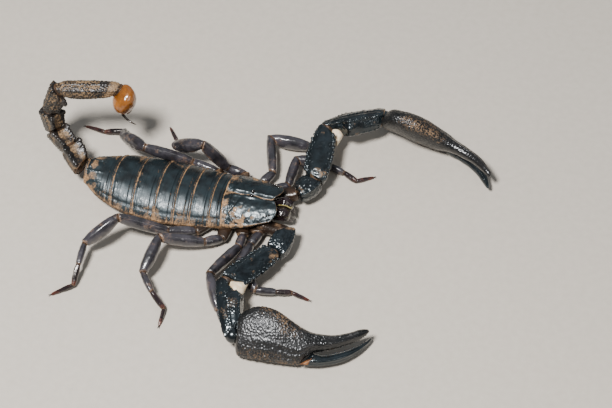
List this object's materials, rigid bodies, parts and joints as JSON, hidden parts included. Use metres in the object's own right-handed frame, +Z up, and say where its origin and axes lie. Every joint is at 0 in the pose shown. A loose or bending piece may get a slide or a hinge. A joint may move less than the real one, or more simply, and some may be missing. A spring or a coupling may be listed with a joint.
{
  "type": "scorpion",
  "caption": "Forest scorpion standing on its legs with its tail raised over its back and its claws held out in front.",
  "frame": {"origin": "bottom centre of the part's box, on the floor the feet rest on", "axes": "+X towards the head, along the trunk; +Y to the animal's left side; +Z up"},
  "size_m": [0.1246, 0.0862, 0.0283],
  "materials": {
    "back_plates": "black horny plates with a blue-green sheen and tan dust along their rear margins",
    "tail_cuticle": "keeled black-brown plates, dusted pale tan in their hollows",
    "telson": "glossy translucent orange-brown",
    "claw_cuticle": "granular black horny plates with a grey gloss",
    "leg_cuticle": "smooth blue-grey to black, with tan soft rims at the joints",
    "foot_cuticle": "reddish brown, with short dark bristles",
    "underside": "dark brown horny plates with tan soft skin between them",
    "jaw": "glossy black-brown with tan bristly inner edges",
    "eye": "polished black lens"
  },
  "bodies": {
    "root": {"carapace": "back_plates", "eye_left": "eye", "eye_right": "eye", "tergite_1": "back_plates", "tergite_2": "back_plates", "tergite_3": "back_plates", "tergite_4": "back_plates", "tergite_5": "back_plates", "tergite_6": "back_plates", "tergite_7": "back_plates", "belly": "underside", "metasoma_1": "tail_cuticle", "metasoma_2": "tail_cuticle", "metasoma_3": "tail_cuticle", "metasoma_4": "tail_cuticle", "metasoma_5": "tail_cuticle", "telson_vesicle": "telson", "aculeus": "tail_cuticle", "leg_left_1_femur": "leg_cuticle", "leg_left_1_patella": "leg_cuticle", "leg_left_1_foot": "foot_cuticle", "leg_left_2_femur": "leg_cuticle", "leg_left_2_patella": "leg_cuticle", "leg_left_2_foot": "foot_cuticle", "leg_left_3_femur": "leg_cuticle", "leg_left_3_patella": "leg_cuticle", "leg_left_3_foot": "foot_cuticle", "leg_left_4_femur": "leg_cuticle", "leg_left_4_patella": "leg_cuticle", "leg_left_4_foot": "foot_cuticle", "leg_right_1_femur": "leg_cuticle", "leg_right_1_patella": "leg_cuticle", "leg_right_1_foot": "foot_cuticle", "leg_right_2_femur": "leg_cuticle", "leg_right_2_patella": "leg_cuticle", "leg_right_2_foot": "foot_cuticle", "leg_right_3_femur": "leg_cuticle", "leg_right_3_patella": "leg_cuticle", "leg_right_3_foot": "foot_cuticle", "leg_right_4_femur": "leg_cuticle", "leg_right_4_patella": "leg_cuticle", "leg_right_4_foot": "foot_cuticle", "pedipalp_left_trochanter": "claw_cuticle", "pedipalp_left_femur": "claw_cuticle", "pedipalp_left_patella": "claw_cuticle", "pedipalp_left_hand": "claw_cuticle", "pedipalp_left_finger": "claw_cuticle", "pedipalp_right_trochanter": "claw_cuticle", "pedipalp_right_femur": "claw_cuticle", "pedipalp_right_patella": "claw_cuticle", "pedipalp_right_hand": "claw_cuticle", "pedipalp_right_finger": "claw_cuticle", "prosoma_underside": "underside", "chelicera_left": "jaw", "chelicera_right": "jaw", "pectine_left": "underside", "pectine_right": "underside"}
  },
  "joints": []
}
